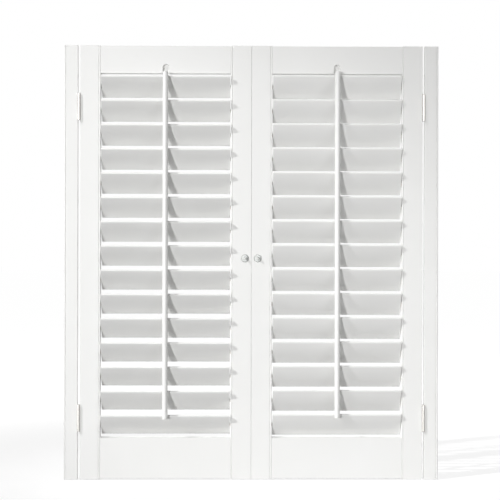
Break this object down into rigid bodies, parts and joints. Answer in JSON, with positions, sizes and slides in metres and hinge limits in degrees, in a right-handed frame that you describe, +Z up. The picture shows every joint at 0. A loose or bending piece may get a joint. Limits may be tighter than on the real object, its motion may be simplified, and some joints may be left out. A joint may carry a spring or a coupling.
{
  "type": "louvred shutters",
  "caption": "Pair of white interior louvred shutters hinged to two side frame strips, with tilting louvres linked by a front tilt rod on each panel, and small clear knobs.",
  "frame": {"origin": "on the sill line, midway between the side frames, in the plane of the louvre pivots", "axes": "+Z up, +X to the right as seen from the room, -Y towards the room and +Y towards the window"},
  "size_m": [0.8984, 0.0573, 1.041],
  "materials": {
    "painted_wood": "satin white paint",
    "bare_wood": "plain beech",
    "hinge_steel": "satin nickel",
    "staple_wire": "white coated wire",
    "nylon": "white nylon",
    "clear_acrylic": "clear polished acrylic"
  },
  "bodies": {
    "frame": {"left_side_frame": "painted_wood", "right_side_frame": "painted_wood", "left_frame_hinge_plates": "hinge_steel", "right_frame_hinge_plates": "hinge_steel", "hinge_pins": "hinge_steel", "frame_hinge_screws": "hinge_steel"},
    "left_panel": {"left_outer_stile": "painted_wood", "left_meeting_stile": "painted_wood", "left_top_rail": "painted_wood", "left_bottom_rail": "painted_wood", "left_dowels": "bare_wood", "left_pivot_pins": "nylon", "left_panel_hinge_plates": "hinge_steel", "left_panel_hinge_screws": "hinge_steel", "left_knob": "clear_acrylic", "left_knob_screw": "hinge_steel"},
    "left_louvre_08": {"left_louvre_08": "painted_wood"},
    "left_louvre_01": {"left_louvre_01": "painted_wood"},
    "left_louvre_02": {"left_louvre_02": "painted_wood"},
    "left_louvre_03": {"left_louvre_03": "painted_wood"},
    "left_louvre_04": {"left_louvre_04": "painted_wood"},
    "left_louvre_05": {"left_louvre_05": "painted_wood"},
    "left_louvre_06": {"left_louvre_06": "painted_wood"},
    "left_louvre_07": {"left_louvre_07": "painted_wood"},
    "left_louvre_09": {"left_louvre_09": "painted_wood"},
    "left_louvre_10": {"left_louvre_10": "painted_wood"},
    "left_louvre_11": {"left_louvre_11": "painted_wood"},
    "left_louvre_12": {"left_louvre_12": "painted_wood"},
    "left_louvre_13": {"left_louvre_13": "painted_wood"},
    "left_louvre_14": {"left_louvre_14": "painted_wood"},
    "left_louvre_15": {"left_louvre_15": "painted_wood"},
    "left_rod": {"left_tilt_rod": "painted_wood", "left_rod_staples": "staple_wire"},
    "right_panel": {"right_outer_stile": "painted_wood", "right_meeting_stile": "painted_wood", "right_top_rail": "painted_wood", "right_bottom_rail": "painted_wood", "right_dowels": "bare_wood", "right_pivot_pins": "nylon", "right_panel_hinge_plates": "hinge_steel", "right_panel_hinge_screws": "hinge_steel", "right_knob": "clear_acrylic", "right_knob_screw": "hinge_steel"},
    "right_louvre_08": {"right_louvre_08": "painted_wood"},
    "right_louvre_01": {"right_louvre_01": "painted_wood"},
    "right_louvre_02": {"right_louvre_02": "painted_wood"},
    "right_louvre_03": {"right_louvre_03": "painted_wood"},
    "right_louvre_04": {"right_louvre_04": "painted_wood"},
    "right_louvre_05": {"right_louvre_05": "painted_wood"},
    "right_louvre_06": {"right_louvre_06": "painted_wood"},
    "right_louvre_07": {"right_louvre_07": "painted_wood"},
    "right_louvre_09": {"right_louvre_09": "painted_wood"},
    "right_louvre_10": {"right_louvre_10": "painted_wood"},
    "right_louvre_11": {"right_louvre_11": "painted_wood"},
    "right_louvre_12": {"right_louvre_12": "painted_wood"},
    "right_louvre_13": {"right_louvre_13": "painted_wood"},
    "right_louvre_14": {"right_louvre_14": "painted_wood"},
    "right_louvre_15": {"right_louvre_15": "painted_wood"},
    "right_rod": {"right_tilt_rod": "painted_wood", "right_rod_staples": "staple_wire"}
  },
  "joints": [
    {"name": "left_panel_swing", "type": "hinge", "parent": "frame", "child": "left_panel", "pos_m": [-0.4137, -0.012, 0.5205], "axis": [0, 0, -1], "range_deg": [0, 165]},
    {"name": "left_louvre_tilt_08", "type": "hinge", "parent": "left_panel", "child": "left_louvre_08", "pos_m": [-0.2057, 0, 0.53725], "axis": [-1, 0, 0], "range_deg": [-111.5, 28.5]},
    {"name": "left_louvre_tilt_01", "type": "hinge", "parent": "left_panel", "child": "left_louvre_01", "pos_m": [-0.2057, 0, 0.94325], "axis": [-1, 0, 0], "range_deg": [-111.5, 28.5]},
    {"name": "left_louvre_tilt_02", "type": "hinge", "parent": "left_panel", "child": "left_louvre_02", "pos_m": [-0.2057, 0, 0.88525], "axis": [-1, 0, 0], "range_deg": [-111.5, 28.5]},
    {"name": "left_louvre_tilt_03", "type": "hinge", "parent": "left_panel", "child": "left_louvre_03", "pos_m": [-0.2057, 0, 0.82725], "axis": [-1, 0, 0], "range_deg": [-111.5, 28.5]},
    {"name": "left_louvre_tilt_04", "type": "hinge", "parent": "left_panel", "child": "left_louvre_04", "pos_m": [-0.2057, 0, 0.76925], "axis": [-1, 0, 0], "range_deg": [-111.5, 28.5]},
    {"name": "left_louvre_tilt_05", "type": "hinge", "parent": "left_panel", "child": "left_louvre_05", "pos_m": [-0.2057, 0, 0.71125], "axis": [-1, 0, 0], "range_deg": [-111.5, 28.5]},
    {"name": "left_louvre_tilt_06", "type": "hinge", "parent": "left_panel", "child": "left_louvre_06", "pos_m": [-0.2057, 0, 0.65325], "axis": [-1, 0, 0], "range_deg": [-111.5, 28.5]},
    {"name": "left_louvre_tilt_07", "type": "hinge", "parent": "left_panel", "child": "left_louvre_07", "pos_m": [-0.2057, 0, 0.59525], "axis": [-1, 0, 0], "range_deg": [-111.5, 28.5]},
    {"name": "left_louvre_tilt_09", "type": "hinge", "parent": "left_panel", "child": "left_louvre_09", "pos_m": [-0.2057, 0, 0.47925], "axis": [-1, 0, 0], "range_deg": [-111.5, 28.5]},
    {"name": "left_louvre_tilt_10", "type": "hinge", "parent": "left_panel", "child": "left_louvre_10", "pos_m": [-0.2057, 0, 0.42125], "axis": [-1, 0, 0], "range_deg": [-111.5, 28.5]},
    {"name": "left_louvre_tilt_11", "type": "hinge", "parent": "left_panel", "child": "left_louvre_11", "pos_m": [-0.2057, 0, 0.36325], "axis": [-1, 0, 0], "range_deg": [-111.5, 28.5]},
    {"name": "left_louvre_tilt_12", "type": "hinge", "parent": "left_panel", "child": "left_louvre_12", "pos_m": [-0.2057, 0, 0.30525], "axis": [-1, 0, 0], "range_deg": [-111.5, 28.5]},
    {"name": "left_louvre_tilt_13", "type": "hinge", "parent": "left_panel", "child": "left_louvre_13", "pos_m": [-0.2057, 0, 0.24725], "axis": [-1, 0, 0], "range_deg": [-111.5, 28.5]},
    {"name": "left_louvre_tilt_14", "type": "hinge", "parent": "left_panel", "child": "left_louvre_14", "pos_m": [-0.2057, 0, 0.18925], "axis": [-1, 0, 0], "range_deg": [-111.5, 28.5]},
    {"name": "left_louvre_tilt_15", "type": "hinge", "parent": "left_panel", "child": "left_louvre_15", "pos_m": [-0.2057, 0, 0.13125], "axis": [-1, 0, 0], "range_deg": [-111.5, 28.5]},
    {"name": "left_rod_pivot", "type": "hinge", "parent": "left_louvre_08", "child": "left_rod", "pos_m": [-0.2057, -0.02179, 0.56464], "axis": [-1, 0, 0], "range_deg": [-28.5, 111.5]},
    {"name": "right_panel_swing", "type": "hinge", "parent": "frame", "child": "right_panel", "pos_m": [0.4137, -0.012, 0.5205], "axis": [0, 0, 1], "range_deg": [0, 165]},
    {"name": "right_louvre_tilt_08", "type": "hinge", "parent": "right_panel", "child": "right_louvre_08", "pos_m": [0.2057, 0, 0.53725], "axis": [-1, 0, 0], "range_deg": [-119.5, 20.5]},
    {"name": "right_louvre_tilt_01", "type": "hinge", "parent": "right_panel", "child": "right_louvre_01", "pos_m": [0.2057, 0, 0.94325], "axis": [-1, 0, 0], "range_deg": [-119.5, 20.5]},
    {"name": "right_louvre_tilt_02", "type": "hinge", "parent": "right_panel", "child": "right_louvre_02", "pos_m": [0.2057, 0, 0.88525], "axis": [-1, 0, 0], "range_deg": [-119.5, 20.5]},
    {"name": "right_louvre_tilt_03", "type": "hinge", "parent": "right_panel", "child": "right_louvre_03", "pos_m": [0.2057, 0, 0.82725], "axis": [-1, 0, 0], "range_deg": [-119.5, 20.5]},
    {"name": "right_louvre_tilt_04", "type": "hinge", "parent": "right_panel", "child": "right_louvre_04", "pos_m": [0.2057, 0, 0.76925], "axis": [-1, 0, 0], "range_deg": [-119.5, 20.5]},
    {"name": "right_louvre_tilt_05", "type": "hinge", "parent": "right_panel", "child": "right_louvre_05", "pos_m": [0.2057, 0, 0.71125], "axis": [-1, 0, 0], "range_deg": [-119.5, 20.5]},
    {"name": "right_louvre_tilt_06", "type": "hinge", "parent": "right_panel", "child": "right_louvre_06", "pos_m": [0.2057, 0, 0.65325], "axis": [-1, 0, 0], "range_deg": [-119.5, 20.5]},
    {"name": "right_louvre_tilt_07", "type": "hinge", "parent": "right_panel", "child": "right_louvre_07", "pos_m": [0.2057, 0, 0.59525], "axis": [-1, 0, 0], "range_deg": [-119.5, 20.5]},
    {"name": "right_louvre_tilt_09", "type": "hinge", "parent": "right_panel", "child": "right_louvre_09", "pos_m": [0.2057, 0, 0.47925], "axis": [-1, 0, 0], "range_deg": [-119.5, 20.5]},
    {"name": "right_louvre_tilt_10", "type": "hinge", "parent": "right_panel", "child": "right_louvre_10", "pos_m": [0.2057, 0, 0.42125], "axis": [-1, 0, 0], "range_deg": [-119.5, 20.5]},
    {"name": "right_louvre_tilt_11", "type": "hinge", "parent": "right_panel", "child": "right_louvre_11", "pos_m": [0.2057, 0, 0.36325], "axis": [-1, 0, 0], "range_deg": [-119.5, 20.5]},
    {"name": "right_louvre_tilt_12", "type": "hinge", "parent": "right_panel", "child": "right_louvre_12", "pos_m": [0.2057, 0, 0.30525], "axis": [-1, 0, 0], "range_deg": [-119.5, 20.5]},
    {"name": "right_louvre_tilt_13", "type": "hinge", "parent": "right_panel", "child": "right_louvre_13", "pos_m": [0.2057, 0, 0.24725], "axis": [-1, 0, 0], "range_deg": [-119.5, 20.5]},
    {"name": "right_louvre_tilt_14", "type": "hinge", "parent": "right_panel", "child": "right_louvre_14", "pos_m": [0.2057, 0, 0.18925], "axis": [-1, 0, 0], "range_deg": [-119.5, 20.5]},
    {"name": "right_louvre_tilt_15", "type": "hinge", "parent": "right_panel", "child": "right_louvre_15", "pos_m": [0.2057, 0, 0.13125], "axis": [-1, 0, 0], "range_deg": [-119.5, 20.5]},
    {"name": "right_rod_pivot", "type": "hinge", "parent": "right_louvre_08", "child": "right_rod", "pos_m": [0.2057, -0.01776, 0.56741], "axis": [-1, 0, 0], "range_deg": [-20.5, 119.5]}
  ],
  "couplings": [
    {"joint": "left_louvre_tilt_01", "follows": "left_louvre_tilt_08", "ratio": 1},
    {"joint": "left_louvre_tilt_02", "follows": "left_louvre_tilt_08", "ratio": 1},
    {"joint": "left_louvre_tilt_03", "follows": "left_louvre_tilt_08", "ratio": 1},
    {"joint": "left_louvre_tilt_04", "follows": "left_louvre_tilt_08", "ratio": 1},
    {"joint": "left_louvre_tilt_05", "follows": "left_louvre_tilt_08", "ratio": 1},
    {"joint": "left_louvre_tilt_06", "follows": "left_louvre_tilt_08", "ratio": 1},
    {"joint": "left_louvre_tilt_07", "follows": "left_louvre_tilt_08", "ratio": 1},
    {"joint": "left_louvre_tilt_09", "follows": "left_louvre_tilt_08", "ratio": 1},
    {"joint": "left_louvre_tilt_10", "follows": "left_louvre_tilt_08", "ratio": 1},
    {"joint": "left_louvre_tilt_11", "follows": "left_louvre_tilt_08", "ratio": 1},
    {"joint": "left_louvre_tilt_12", "follows": "left_louvre_tilt_08", "ratio": 1},
    {"joint": "left_louvre_tilt_13", "follows": "left_louvre_tilt_08", "ratio": 1},
    {"joint": "left_louvre_tilt_14", "follows": "left_louvre_tilt_08", "ratio": 1},
    {"joint": "left_louvre_tilt_15", "follows": "left_louvre_tilt_08", "ratio": 1},
    {"joint": "left_rod_pivot", "follows": "left_louvre_tilt_08", "ratio": -1},
    {"joint": "right_louvre_tilt_01", "follows": "right_louvre_tilt_08", "ratio": 1},
    {"joint": "right_louvre_tilt_02", "follows": "right_louvre_tilt_08", "ratio": 1},
    {"joint": "right_louvre_tilt_03", "follows": "right_louvre_tilt_08", "ratio": 1},
    {"joint": "right_louvre_tilt_04", "follows": "right_louvre_tilt_08", "ratio": 1},
    {"joint": "right_louvre_tilt_05", "follows": "right_louvre_tilt_08", "ratio": 1},
    {"joint": "right_louvre_tilt_06", "follows": "right_louvre_tilt_08", "ratio": 1},
    {"joint": "right_louvre_tilt_07", "follows": "right_louvre_tilt_08", "ratio": 1},
    {"joint": "right_louvre_tilt_09", "follows": "right_louvre_tilt_08", "ratio": 1},
    {"joint": "right_louvre_tilt_10", "follows": "right_louvre_tilt_08", "ratio": 1},
    {"joint": "right_louvre_tilt_11", "follows": "right_louvre_tilt_08", "ratio": 1},
    {"joint": "right_louvre_tilt_12", "follows": "right_louvre_tilt_08", "ratio": 1},
    {"joint": "right_louvre_tilt_13", "follows": "right_louvre_tilt_08", "ratio": 1},
    {"joint": "right_louvre_tilt_14", "follows": "right_louvre_tilt_08", "ratio": 1},
    {"joint": "right_louvre_tilt_15", "follows": "right_louvre_tilt_08", "ratio": 1},
    {"joint": "right_rod_pivot", "follows": "right_louvre_tilt_08", "ratio": -1}
  ]
}
